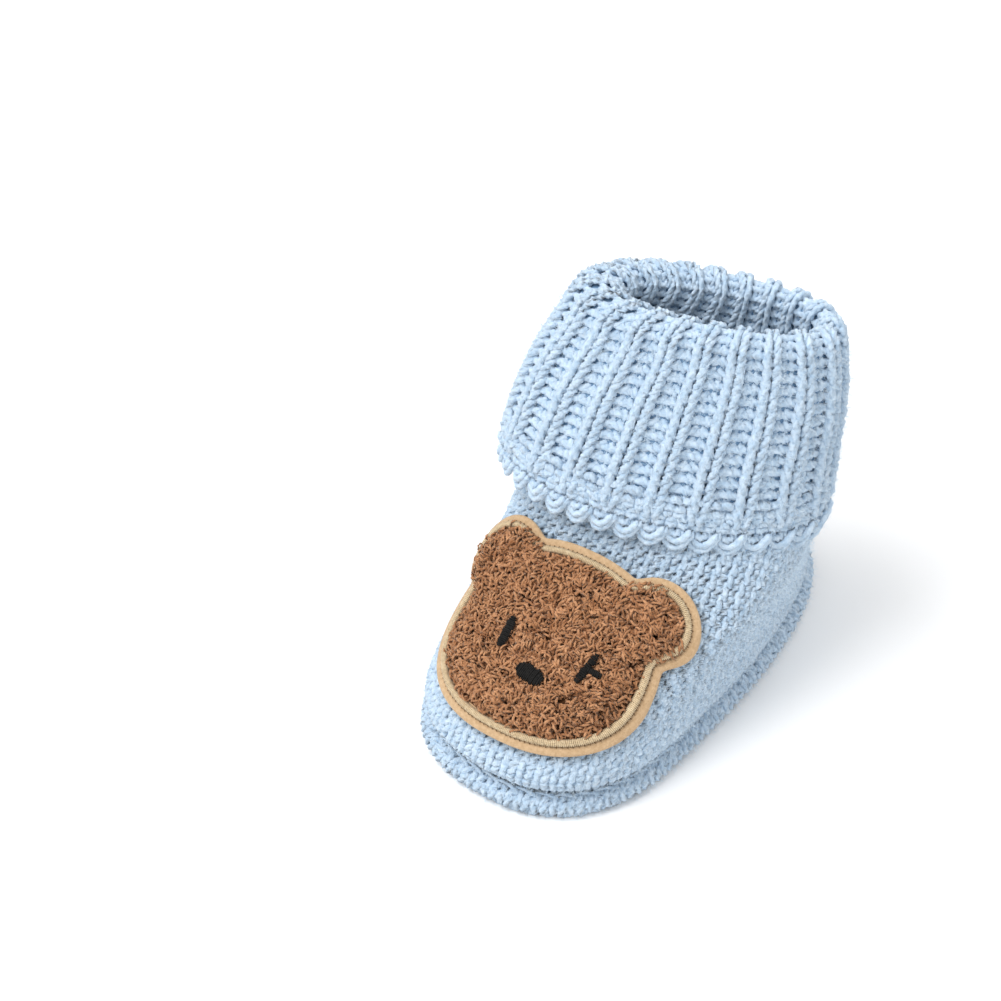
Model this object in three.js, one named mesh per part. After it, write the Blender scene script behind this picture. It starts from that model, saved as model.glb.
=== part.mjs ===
// Knitted baby bootie with a turned-down ribbed cuff and a teddy-bear patch.
// Millimetres, +Z up. Toe towards -Y, heel towards +Y, outer side of the foot towards +X.
import * as THREE from 'three';

// ---- driving dimensions -------------------------------------------------
const SOLE_LENGTH = 108;
const SOLE_WIDTH = 57;
const SOLE_THICK = 4.5;
const SOLE_WIDEST = 0.29;      // where the ball of the foot sits, as a share of the length
const FABRIC = 3.2;            // knitted wall of the foot
const RIB_FABRIC = 3.4;        // ribbed wall of the leg and cuff
const GAP = 0.35;              // clearance kept between neighbouring pieces
const SEAM_CORD_R = 0.9;
const HEEL_CORD_R = 0.8;
const SCALLOPS = 34;           // loops along the hem of the cuff
const SCALLOP_DEPTH = 1.9;
const PATCH_AT = [0.95, -29.6, 23.6];  // middle of the bear, near the vamp surface
const PATCH_SLOPE = 32 * Math.PI / 180;
const HEAD_HALF_WIDTH = 23.5;
const HEAD_HALF_HEIGHT = 21.4;
const HEAD_BLUNT = 2.35;
const EAR_AT = [17.6, 13.5];
const PATCH_ROLL = 4 * Math.PI / 180; // lean of the bear towards the inner side
const EAR_R = 9.1;
const FELT_THICK = 1.2;
const FELT_FLANGE = 1.5;       // felt showing outside the satin border
const BORDER_WIDTH = 1.7;
const BORDER_HEIGHT = 1.0;
const PILE_THICK = 3.4;
const FACE_THICK = 1.0;
const AROUND = 60;             // facets around every ring

// Outside of the foot as rings stacked from the sole to the ankle.
// front [y, z], back [y, z], half width, widest point, blunt front and back, turn in degrees
const FOOT_RINGS = [
  [-50.5, 4.85, 48.0, 4.85, 26.0, 0.30, 2.4, 2.6, 0],
  [-52.3, 8.5, 49.8, 10.0, 27.6, 0.31, 2.4, 2.6, 0],
  [-49.0, 13.5, 49.5, 16.5, 28.0, 0.33, 2.4, 2.5, 0],
  [-40.5, 18.6, 47.0, 22.5, 28.4, 0.37, 2.6, 2.4, 0],
  [-31.0, 24.0, 43.5, 28.0, 29.4, 0.41, 2.8, 2.3, 1],
  [-21.7, 30.2, 39.5, 32.5, 30.8, 0.45, 2.8, 2.2, 4],
  [-14.0, 37.6, 35.5, 36.8, 31.2, 0.48, 2.6, 2.1, 9],
  [-8.8, 46.2, 31.0, 41.2, 30.6, 0.50, 2.3, 2.1, 16],
];

// Middle of the ribbed wall: up inside the leg, over the fold and down the cuff.
const RIB_RINGS = [
  [-6.4, 48.9, 29.4, 43.4, 29.0, 0.50, 2.2, 2.1, 18, 0],
  [-4.8, 54.0, 29.0, 48.2, 28.6, 0.50, 2.2, 2.2, 21, 0],
  [-1.2, 62.0, 28.7, 56.4, 28.0, 0.50, 2.2, 2.2, 23, 0.2],
  [4.8, 71.0, 29.2, 66.8, 25.0, 0.50, 2.2, 2.2, 25, 0.8],
  [11.0, 78.6, 29.6, 75.8, 20.4, 0.50, 2.2, 2.2, 26, 2.4],
  [12.4, 82.0, 30.2, 79.4, 20.2, 0.50, 2.2, 2.2, 26, 2.6],
  [9.8, 84.6, 32.2, 81.0, 22.8, 0.50, 2.2, 2.2, 26, 1.8],
  [5.8, 83.0, 34.2, 79.0, 26.6, 0.50, 2.2, 2.2, 26, 0.4],
  [3.8, 78.4, 34.9, 74.0, 28.2, 0.50, 2.2, 2.2, 26, 0],
  [-1.6, 69.4, 34.8, 64.0, 31.2, 0.50, 2.2, 2.2, 25, 0],
  [-6.8, 60.0, 33.8, 53.6, 33.2, 0.50, 2.1, 2.1, 24, 0],
  [-10.0, 52.4, 33.4, 45.6, 34.4, 0.50, 2.1, 2.1, 23, 0],
];

// Hem edging hanging under the last ring of the cuff.
const EDGE_RINGS = [
  [-10.2, 51.4, 33.4, 44.6, 34.6, 0.50, 2.1, 2.1, 23],
  [-11.3, 47.2, 32.6, 40.2, 34.9, 0.50, 2.1, 2.1, 22],
];

// ---- small tools --------------------------------------------------------
const signedPower = (value, power) => Math.sign(value) * Math.abs(value) ** power;
const add = (a, b, k = 1) => a.map((value, i) => value + k * b[i]);
const dot = (a, b) => a[0] * b[0] + a[1] * b[1] + a[2] * b[2];
const cross = (a, b) => [
  a[1] * b[2] - a[2] * b[1], a[2] * b[0] - a[0] * b[2], a[0] * b[1] - a[1] * b[0]];
const unit = (a) => a.map((value) => value / Math.hypot(...a));

// Smooth value of every ring number at a fractional place in a table of rings.
function ringBetween(table, place) {
  const last = table.length - 1;
  const i = Math.min(Math.max(Math.floor(place), 0), last - 1);
  const t = place - i;
  const pick = (k) => table[Math.min(Math.max(k, 0), last)];
  return table[i].map((_, c) => {
    const [a, b, d, e] = [pick(i - 1)[c], pick(i)[c], pick(i + 1)[c], pick(i + 2)[c]];
    const inSlope = (d - a) / 2, outSlope = (e - b) / 2;
    return b + inSlope * t + (3 * (d - b) - 2 * inSlope - outSlope) * t ** 2
      + (2 * (b - d) + inSlope + outSlope) * t ** 3;
  });
}

// Point on a ring; angle 0 is the toe side, a quarter turn is the outer side.
function ringPoint(ring, angle) {
  const [frontY, frontZ, backY, backZ, half, widest, bluntFront, bluntBack, turn, aside = 0] = ring;
  const blunt = Math.cos(angle) > 0 ? bluntFront : bluntBack;
  const across = half * signedPower(Math.sin(angle), 2 / blunt);
  const reach = signedPower(Math.cos(angle), 2 / blunt);
  const share = widest - reach * (reach > 0 ? widest : 1 - widest);
  const length = Math.hypot(backY - frontY, backZ - frontZ);
  const along = (share - widest) * length;
  const swing = turn * Math.PI / 180;
  const x = across * Math.cos(swing) - along * Math.sin(swing) + aside;
  const way = (across * Math.sin(swing) + along * Math.cos(swing)) / length + widest;
  return [x, frontY + (backY - frontY) * way, frontZ + (backZ - frontZ) * way];
}

// Rows of points, one row per place in a ring table.
function ringRows(table, places, around = AROUND) {
  return places.map((place) => {
    const ring = ringBetween(table, place);
    return Array.from({ length: around }, (_, k) => ringPoint(ring, 2 * Math.PI * k / around));
  });
}

// Same rows moved along the surface normal.
function offsetRows(rows, distance) {
  return rows.map((row, r) => row.map((point, k) => {
    const above = rows[Math.min(r + 1, rows.length - 1)][k];
    const below = rows[Math.max(r - 1, 0)][k];
    const ahead = row[(k + 1) % row.length];
    const behind = row[(k + row.length - 1) % row.length];
    return add(point, unit(cross(add(ahead, behind, -1), add(above, below, -1))), distance);
  }));
}

// Closed body from rows that run around and then back to the first row.
function ringBody(rows) {
  const wide = rows[0].length;
  const index = [];
  rows.forEach((_, r) => {
    const next = (r + 1) % rows.length;
    for (let k = 0; k < wide; k += 1) {
      const side = (k + 1) % wide;
      index.push(r * wide + k, r * wide + side, next * wide + side);
      index.push(r * wide + k, next * wide + side, next * wide + k);
    }
  });
  return geometryOf(rows.flat(), index);
}

// Closed body from rows with a single point closing each end.
function cappedBody(first, rows, last) {
  const wide = rows[0].length;
  const index = [];
  const end = 1 + rows.length * wide;
  for (let k = 0; k < wide; k += 1) {
    const side = (k + 1) % wide;
    index.push(0, 1 + side, 1 + k);
    for (let r = 0; r + 1 < rows.length; r += 1) {
      const low = 1 + r * wide, high = low + wide;
      index.push(low + k, low + side, high + side, low + k, high + side, high + k);
    }
    index.push(end, end - wide + k, end - wide + side);
  }
  return geometryOf([first, ...rows.flat(), last], index);
}

// Geometry with its facets turned outwards.
function geometryOf(points, index) {
  let volume = 0;
  for (let i = 0; i < index.length; i += 3) {
    const [a, b, c] = [points[index[i]], points[index[i + 1]], points[index[i + 2]]];
    volume += dot(a, cross(b, c));
  }
  if (volume < 0) index.reverse();
  const geometry = new THREE.BufferGeometry();
  geometry.setAttribute('position', new THREE.Float32BufferAttribute(points.flat(), 3));
  geometry.setIndex(index);
  geometry.computeVertexNormals();
  return geometry;
}

const steps = (from, to, count) =>
  Array.from({ length: count + 1 }, (_, i) => from + (to - from) * i / count);

// ---- sole and seams -----------------------------------------------------
function soleOutline(inset, height) {
  const half = SOLE_LENGTH / 2 - inset;
  const ring = [-half, height, half, height, SOLE_WIDTH / 2 - inset, SOLE_WIDEST, 2.3, 2.5, 0];
  return Array.from({ length: AROUND }, (_, k) => ringPoint(ring, 2 * Math.PI * k / AROUND));
}

function sole() {
  const edge = [[1.8, 0], [0.5, 0.8], [0, 2.3], [0.5, 3.8], [1.6, SOLE_THICK]];
  const rows = edge.map(([inset, height]) => soleOutline(inset, height));
  return cappedBody([0, 0, 0], rows, [0, 0, SOLE_THICK]);
}

function cordAlong(points, radius, closed) {
  const curve = new THREE.CatmullRomCurve3(
    points.map((p) => new THREE.Vector3(...p)), closed, 'centripetal');
  const count = closed ? AROUND : 24;
  const frames = curve.computeFrenetFrames(count, closed);
  const sides = 8;
  const rows = [];
  for (let i = 0; i < (closed ? count : count + 1); i += 1) {
    const centre = curve.getPointAt(i / count).toArray();
    rows.push(Array.from({ length: sides }, (_, k) => {
      const angle = 2 * Math.PI * k / sides;
      const side = add([0, 0, 0], frames.normals[i].toArray(), radius * Math.cos(angle));
      return add(add(centre, side), frames.binormals[i].toArray(), radius * Math.sin(angle));
    }));
  }
  if (closed) return ringBody(rows);
  return cappedBody(points[0], rows, points[points.length - 1]);
}

// Yarn that links the foot to the sole, in the corner between the two.
function soleSeam() {
  const base = ringRows(FOOT_RINGS, [0, 0.3, 0.6]);
  const outside = offsetRows(base, SEAM_CORD_R + 2 * GAP)[1];
  return cordAlong(outside.map(([x, y]) => [x, y, SOLE_THICK + SEAM_CORD_R + GAP]),
    SEAM_CORD_R, true);
}

// Closing seam up the middle of the heel, on the inside of the wall.
function heelSeam() {
  const places = steps(0.5, 5.4, 12);
  const inside = offsetRows(ringRows(FOOT_RINGS, places), -FABRIC - HEEL_CORD_R - GAP);
  return cordAlong(inside.map((row) => row[AROUND / 2]), HEEL_CORD_R, false);
}

// ---- knitted walls ------------------------------------------------------
function footUpper() {
  const outer = ringRows(FOOT_RINGS, steps(0, FOOT_RINGS.length - 1, 14));
  const inner = offsetRows(outer, -FABRIC);
  inner[0].forEach((point) => { point[2] = FOOT_RINGS[0][1]; });
  return ringBody([...outer, ...inner.reverse()]);
}

function legAndCuff() {
  const middle = ringRows(RIB_RINGS, steps(0, RIB_RINGS.length - 1, 22));
  const outer = offsetRows(middle, RIB_FABRIC / 2);
  const inner = offsetRows(middle, -RIB_FABRIC / 2);
  return ringBody([...outer, ...inner.reverse()]);
}

// Scalloped loops finishing the hem of the cuff.
function hemEdging() {
  const around = SCALLOPS * 4;
  const [top, low] = EDGE_RINGS;
  const section = [[0, 0.9], [0.5, 1.5], [1, 1.1], [1, -0.3], [0.5, -1.1], [0, -0.9]];
  const rows = section.map(([drop, side]) => Array.from({ length: around }, (_, k) => {
    const angle = 2 * Math.PI * k / around;
    const wave = Math.abs(Math.cos(angle * SCALLOPS / 2)) - 1;
    const high = ringPoint(top, angle);
    const deep = ringPoint(low, angle);
    const point = add(high, add(deep, high, -1), drop);
    const middle = [0, (top[0] + top[2]) / 2, high[2]];
    const outward = unit([high[0] - middle[0], high[1] - middle[1], 0]);
    const lift = [0, 0, -SCALLOP_DEPTH * wave * drop];
    return add(add(point, outward, side), lift);
  }));
  return ringBody(rows);
}

// ---- bear patch ---------------------------------------------------------
const UP_SLOPE = [0, Math.cos(PATCH_SLOPE), Math.sin(PATCH_SLOPE)];
const OFF_SLOPE = [0, -Math.sin(PATCH_SLOPE), Math.cos(PATCH_SLOPE)];

// Point lifted off the foot above a spot given across and up the patch.
function onVamp(sideways, upward, lift) {
  const across = sideways * Math.cos(PATCH_ROLL) - upward * Math.sin(PATCH_ROLL);
  const up = sideways * Math.sin(PATCH_ROLL) + upward * Math.cos(PATCH_ROLL);
  let [angle, place] = [across / 26, 3.4 + up / 11];
  const spot = (a, v) => add(ringPoint(ringBetween(FOOT_RINGS, v), a), PATCH_AT, -1);
  for (let round = 0; round < 12; round += 1) {
    const here = spot(angle, place);
    const byAngle = add(spot(angle + 1e-4, place), here, -1).map((value) => value / 1e-4);
    const byPlace = add(spot(angle, place + 1e-4), here, -1).map((value) => value / 1e-4);
    const miss = [across - here[0], up - dot(here, UP_SLOPE)];
    const [a, b, c, d] = [byAngle[0], byPlace[0], dot(byAngle, UP_SLOPE), dot(byPlace, UP_SLOPE)];
    const span = a * d - b * c;
    angle += Math.max(-0.3, Math.min(0.3, (miss[0] * d - miss[1] * b) / span));
    place += Math.max(-0.8, Math.min(0.8, (miss[1] * a - miss[0] * c) / span));
  }
  return add(add(spot(angle, place), PATCH_AT), OFF_SLOPE, lift);
}

// Distance from the middle of the bear to its outline in one direction.
function bearRadius(direction) {
  const [cos, sin] = [Math.abs(Math.cos(direction)), Math.sin(direction)];
  const head = ((cos / HEAD_HALF_WIDTH) ** HEAD_BLUNT
    + (Math.abs(sin) / HEAD_HALF_HEIGHT) ** HEAD_BLUNT) ** (-1 / HEAD_BLUNT);
  const along = cos * EAR_AT[0] + sin * EAR_AT[1];
  const aside = Math.hypot(...EAR_AT) ** 2 - along ** 2;
  const ear = aside < EAR_R ** 2 && along > 0 ? along + Math.sqrt(EAR_R ** 2 - aside) : 0;
  return Math.max(head, ear);
}

// Closed pad that follows the vamp: outline, spread of rings and two heights.
function pad(centre, radiusAt, low, high, around, rounding) {
  const ringAt = (share, lift) => Array.from({ length: around }, (_, k) => {
    const direction = 2 * Math.PI * k / around;
    const reach = radiusAt(direction) * share;
    return onVamp(centre[0] + reach * Math.cos(direction),
      centre[1] + reach * Math.sin(direction), lift);
  });
  const edge = high - rounding;
  const rows = [
    ringAt(0.3, low), ringAt(0.55, low), ringAt(0.78, low), ringAt(0.97, low),
    ringAt(1, (low + edge) / 2), ringAt(0.97, edge), ringAt(0.88, high),
    ringAt(0.66, high), ringAt(0.4, high)];
  return cappedBody(onVamp(...centre, low), rows, onVamp(...centre, high));
}

const FELT_LOW = 0.8;
const FELT_TOP = FELT_LOW + FELT_THICK;
const PILE_LOW = FELT_TOP + GAP;
const PILE_TOP = PILE_LOW + PILE_THICK;
const FACE_LOW = PILE_TOP + GAP;

function patchFelt() {
  return pad([0, 0], bearRadius, FELT_LOW, FELT_TOP, 60, 0.2);
}

function patchPile() {
  const inset = FELT_FLANGE + BORDER_WIDTH + 2.5 * GAP;
  return pad([0, 0], (direction) => bearRadius(direction) - inset, PILE_LOW, PILE_TOP, 60, 1.2);
}

// Satin-stitched band running around the bear just inside the felt edge.
function patchBorder() {
  const around = 96;
  const middle = FELT_FLANGE + BORDER_WIDTH / 2;
  const half = BORDER_WIDTH / 2;
  const section = [[half, 0], [half * 0.6, BORDER_HEIGHT * 0.8], [0, BORDER_HEIGHT],
    [-half * 0.6, BORDER_HEIGHT * 0.8], [-half, 0]];
  const rows = section.map(([aside, lift]) => Array.from({ length: around }, (_, k) => {
    const direction = 2 * Math.PI * k / around;
    const reach = bearRadius(direction) - middle + aside;
    return onVamp(reach * Math.cos(direction), reach * Math.sin(direction), PILE_LOW + lift);
  }));
  return ringBody(rows);
}

// Slim embroidered bar between two spots on the face.
function faceBar(from, to, halfWidth) {
  const middle = [(from[0] + to[0]) / 2, (from[1] + to[1]) / 2];
  const half = Math.hypot(to[0] - from[0], to[1] - from[1]) / 2;
  const heading = Math.atan2(to[1] - from[1], to[0] - from[0]);
  const radiusAt = (direction) => {
    const turned = direction - heading;
    return ((Math.abs(Math.cos(turned)) / half) ** 3
      + (Math.abs(Math.sin(turned)) / halfWidth) ** 3) ** (-1 / 3);
  };
  return pad(middle, radiusAt, FACE_LOW, FACE_LOW + FACE_THICK, 20, 0.4);
}

function nose() {
  const radiusAt = (direction) => ((Math.abs(Math.cos(direction)) / 3.2) ** 2.4
    + (Math.abs(Math.sin(direction)) / 2.1) ** 2.4) ** (-1 / 2.4);
  return pad([2.0, -7.4], radiusAt, FACE_LOW, FACE_LOW + FACE_THICK, 24, 0.4);
}

// ---- assembly -----------------------------------------------------------
const YARN = { color: 0xc3d9ea, roughness: 0.95, metalness: 0 };
const FELT = { color: 0xc99e75, roughness: 0.95, metalness: 0 };
const GOLD_THREAD = { color: 0xd5be9b, roughness: 0.6, metalness: 0 };
const BOUCLE = { color: 0x8d5e3b, roughness: 0.95, metalness: 0 };
const BLACK_THREAD = { color: 0x15130f, roughness: 0.7, metalness: 0 };

const bootie = new THREE.Group();
bootie.name = 'baby_bootie';

function piece(name, geometry, look) {
  const mesh = new THREE.Mesh(geometry, new THREE.MeshStandardMaterial(look));
  mesh.name = name;
  bootie.add(mesh);
}

piece('sole_knit', sole(), YARN);
piece('sole_seam_yarn', soleSeam(), YARN);
piece('foot_upper_knit', footUpper(), YARN);
piece('heel_seam_yarn', heelSeam(), YARN);
piece('leg_and_cuff_rib', legAndCuff(), YARN);
piece('cuff_hem_scallops', hemEdging(), YARN);
piece('patch_felt_backing', patchFelt(), FELT);
piece('patch_satin_border', patchBorder(), GOLD_THREAD);
piece('patch_boucle_pile', patchPile(), BOUCLE);
piece('face_eye_open', faceBar([-7.3, 1.9], [-6.9, -5.0], 1.1), BLACK_THREAD);
piece('face_eye_wink_long', faceBar([12.3, 2.2], [11.0, -4.8], 0.85), BLACK_THREAD);
piece('face_eye_wink_short', faceBar([12.9, -1.5], [15.1, -1.3], 0.65), BLACK_THREAD);
piece('face_nose', nose(), BLACK_THREAD);

export default bootie;
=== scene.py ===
"""Knitted baby bootie with a ribbed turned-down cuff and a teddy-bear patch, built yarn by yarn.

Lengths are millimetres: the toe points to -Y, the heel to +Y, the outer side to +X, the ground is Z 0.
"""
import math

import bpy
import numpy as np
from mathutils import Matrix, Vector


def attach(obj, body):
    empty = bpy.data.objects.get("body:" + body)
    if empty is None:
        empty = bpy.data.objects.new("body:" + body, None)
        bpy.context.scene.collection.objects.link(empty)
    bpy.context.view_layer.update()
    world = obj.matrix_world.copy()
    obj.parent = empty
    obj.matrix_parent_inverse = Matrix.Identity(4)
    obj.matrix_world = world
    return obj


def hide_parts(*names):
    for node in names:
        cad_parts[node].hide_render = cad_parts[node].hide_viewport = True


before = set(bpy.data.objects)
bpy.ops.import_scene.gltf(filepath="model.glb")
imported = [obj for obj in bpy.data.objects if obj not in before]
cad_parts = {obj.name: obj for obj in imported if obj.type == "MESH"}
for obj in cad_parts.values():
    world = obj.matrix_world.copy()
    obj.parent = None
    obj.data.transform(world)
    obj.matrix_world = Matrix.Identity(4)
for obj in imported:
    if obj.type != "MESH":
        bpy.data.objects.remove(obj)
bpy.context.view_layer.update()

MM = 0.001
TURN = 2 * math.pi

# ---- sizes of the knitting ------------------------------------------------
SOLE_LENGTH, SOLE_WIDTH = 108, 57
SOLE_WIDEST = 0.29       # widest place, as a share of the length from the toe
SOLE_BLUNT = (2.3, 2.5)  # bluntness of the outline at the toe and at the heel
UNDERSIDE = 1.5          # height of the rim's lowest ring
FABRIC = 3.2             # thickness of the foot's wall
FOOT_WALES = 72          # stitches round the rim of the sole
FOOT_ROWS = 25
HIDDEN_WALES = 22        # wales that end under the patch, so the ankle is narrower
CLOSE_FROM, CLOSE_OVER = 0.34, 0.30   # where those wales close up, as shares of the wall's height
ENDED_WALE = 0.45        # a wale narrowed to less than this share of its width has ended
RIBS = 20                # knit ribs round the cuff, each with a purl furrow beside it
RIB_ROWS = 33
SCALLOPS = 34
HEM_COURSES = (0.0, 0.27, 0.52)       # places of the purl courses down the hem
SCALLOP_LOOPS = ((0.66, 0.66, 0.3), (0.52, 0.44, 0.8))   # half width, fall and lift of its two yarns
SEAM_LINKS = 60
SEAM_AT, SEAM_HALF = 0.040, 0.019     # middle and half height of the links up the foot's wall
HEEL_STITCHES = 15
HEEL_FROM, HEEL_STEP, HEEL_REACH = 0.10, 0.052, 0.030    # first stitch, spacing and half height
RIM_ROW = 2.35           # height of a course round the rim of the sole
SOLE_STITCH, SOLE_COURSE = 3.75, 2.4  # width and height of a stitch under the sole
SOLE_COURSES_END = 47    # the flat courses lie between this far towards the toe and the heel
YARN_R, RIB_YARN_R, HEM_YARN_R, SCALLOP_YARN_R = 0.92, 0.95, 0.9, 0.8
SOLE_YARN_R, LINK_YARN_R, HEEL_YARN_R = 0.8, 0.55, 0.62
FULL_RIB_STITCH = 3.7    # rib stitches narrower than this are knitted thinner, at the crowded fold
LEAST_SQUEEZE = 0.68     # but never thinner than this share
LOFT_JITTER = 0.06       # random rise of one stitch over the next
EASE_FROM = 2.2          # angle from a stitch's middle where it eases into its neighbour
FIBRE_SHORT, FIBRE_LONG, FIBRE_THIN, FIBRE_THICK = 0.9, 2.6, 0.03, 0.06


def rings(*rows):
    """Rows of: front y z, back y z, half width, widest place, bluntness front and back, turn, aside."""
    return np.array([row + [0] * (10 - len(row)) for row in rows], float)


FOOT_RINGS = rings(
    [-50.5, 4.85, 48.0, 4.85, 26.0, 0.30, 2.4, 2.6, 0],
    [-52.3, 8.5, 49.8, 10.0, 27.6, 0.31, 2.4, 2.6, 0],
    [-49.0, 13.5, 49.5, 16.5, 28.0, 0.33, 2.4, 2.5, 0],
    [-40.5, 18.6, 47.0, 22.5, 28.4, 0.37, 2.6, 2.4, 0],
    [-31.0, 24.0, 43.5, 28.0, 29.4, 0.41, 2.8, 2.3, 1],
    [-21.7, 30.2, 39.5, 32.5, 30.8, 0.45, 2.8, 2.2, 4],
    [-14.0, 37.6, 35.5, 36.8, 31.2, 0.48, 2.6, 2.1, 9],
    [-8.8, 46.2, 31.0, 41.2, 30.6, 0.50, 2.3, 2.1, 16])
FOOT_FLARE = rings([-52.9, 2.2, 50.6, 3.4, 27.6, 0.30, 2.4, 2.6])
RIB_RINGS = rings(
    [-6.4, 48.9, 29.4, 43.4, 29.0, 0.50, 2.2, 2.1, 18],
    [-4.8, 54.0, 29.0, 48.2, 28.6, 0.50, 2.2, 2.2, 21],
    [-1.2, 62.0, 28.7, 56.4, 28.0, 0.50, 2.2, 2.2, 23, 0.2],
    [4.8, 71.0, 29.2, 66.8, 25.0, 0.50, 2.2, 2.2, 25, 0.8],
    [11.0, 78.6, 29.6, 75.8, 20.4, 0.50, 2.2, 2.2, 26, 2.4],
    [12.4, 82.0, 30.2, 79.4, 20.2, 0.50, 2.2, 2.2, 26, 2.6],
    [9.8, 84.6, 32.2, 81.0, 22.8, 0.50, 2.2, 2.2, 26, 1.8],
    [5.8, 82.8, 34.0, 78.8, 26.2, 0.50, 2.2, 2.2, 26, 0.4],
    [3.8, 78.2, 34.5, 73.8, 27.8, 0.50, 2.2, 2.2, 26],
    [-1.6, 69.4, 34.4, 64.0, 30.6, 0.50, 2.2, 2.2, 25, -0.7],
    [-6.8, 60.0, 33.5, 53.6, 32.3, 0.50, 2.1, 2.1, 24, -1.3],
    [-10.0, 52.4, 32.8, 45.6, 33.3, 0.50, 2.1, 2.1, 23, -1.5])
HEM_RINGS = rings(
    [-9.8, 53.0, 32.4, 46.2, 33.0, 0.50, 2.1, 2.1, 23, -1.5],
    [-10.9, 49.2, 32.0, 42.2, 33.3, 0.50, 2.1, 2.1, 22.5, -1.5],
    [-11.6, 45.4, 31.4, 38.4, 33.4, 0.50, 2.1, 2.1, 22, -1.5])

# ---- the bear patch -------------------------------------------------------
PATCH_AT = np.array([0.95, -29.6, 23.6])
PATCH_SLOPE, PATCH_ROLL = math.radians(32), math.radians(4)
HEAD_HALF_WIDTH, HEAD_HALF_HEIGHT, HEAD_BLUNT = 23.5, 21.4, 2.35
EAR_AT, EAR_R = np.array([17.6, 13.5]), 9.1
FELT_FLANGE, BORDER_WIDTH = 1.5, 1.5
BORDER_THREADS, NEEDLE_HOLES = 430, 150
SATIN_R, NEEDLE_R, FACE_THREAD_R = 0.21, 0.11, 0.27
CURLS = 6600             # tried all over CURL_FIELD; those off the face are dropped
CURL_FIELD = ([-28, -22], [28, 25])
CURL_THIN, CURL_THICK = 0.22, 0.34
PILE_LOW, PILE_RISE, PILE_SLOPE = 2.7, 2.0, 4   # lift at the border, its rise inwards and over what width
FACE_LIFT = 5.4
FELT_SECTION = ((0.0, 0.9), (0.5, 0.9), (0.97, 0.8), (1.0, 1.0), (1.002, 1.5),
                (0.99, 1.85), (0.95, 1.95), (0.5, 1.95), (0.0, 1.95))
PAD_SECTION = ((1.0, 1.4), (0.98, 1.9), (0.93, 2.2), (0.84, 2.7), (0.6, 3.3), (0.3, 3.3), (0.0, 3.3))

# ---- bake map -------------------------------------------------------------
GIRTH = 7.0              # yarn length that is as wide on the map as one line of strips is high
FEW_YARNS = 400          # up to this many, each yarn has a line of its own
STRIP_FILL, LINE_OVERRUN, LINE_MARGIN = 0.9, 1.02, 1.05
FIBRE_STRIP = 10.0       # all loose fibres share one strip of this length


# ---- small tools ----------------------------------------------------------
def unit(v):
    return v / np.maximum(np.linalg.norm(v, axis=-1, keepdims=True), 1e-9)


def signed_power(value, power):
    return np.sign(value) * np.abs(value) ** power


def smooth(x):
    x = np.clip(x, 0, 1)
    return x * x * (3 - 2 * x)


def ring_between(table, place):
    """Smooth ring numbers at fractional places in a table of rings."""
    last = len(table) - 1
    place = np.asarray(place, float)
    i = np.clip(np.floor(place).astype(int), 0, last - 1)
    t = (place - i)[..., None]
    a, b, d, e = (table[np.clip(i + k, 0, last)] for k in (-1, 0, 1, 2))
    m, n = (d - a) / 2, (e - b) / 2
    return b + m * t + (3 * (d - b) - 2 * m - n) * t**2 + (2 * (b - d) + m + n) * t**3


def ring_points(table, angle):
    """Points on rings; angle 0 is the toe side, a quarter turn is the outer side."""
    fy, fz, by, bz, half, widest, blunt_f, blunt_b, turn, aside = np.moveaxis(table, -1, 0)
    sine, cosine = np.sin(angle), np.cos(angle)
    power = 2 / np.where(cosine > 0, blunt_f, blunt_b)
    across = half * signed_power(sine, power)
    reach = signed_power(cosine, power)
    share = widest - reach * np.where(reach > 0, widest, 1 - widest)
    length = np.hypot(by - fy, bz - fz)
    along = (share - widest) * length
    swing = np.radians(turn)
    x = across * np.cos(swing) - along * np.sin(swing) + aside
    way = (across * np.sin(swing) + along * np.cos(swing)) / length + widest
    return np.stack([x, fy + (by - fy) * way, fz + (bz - fz) * way], -1)


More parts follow.
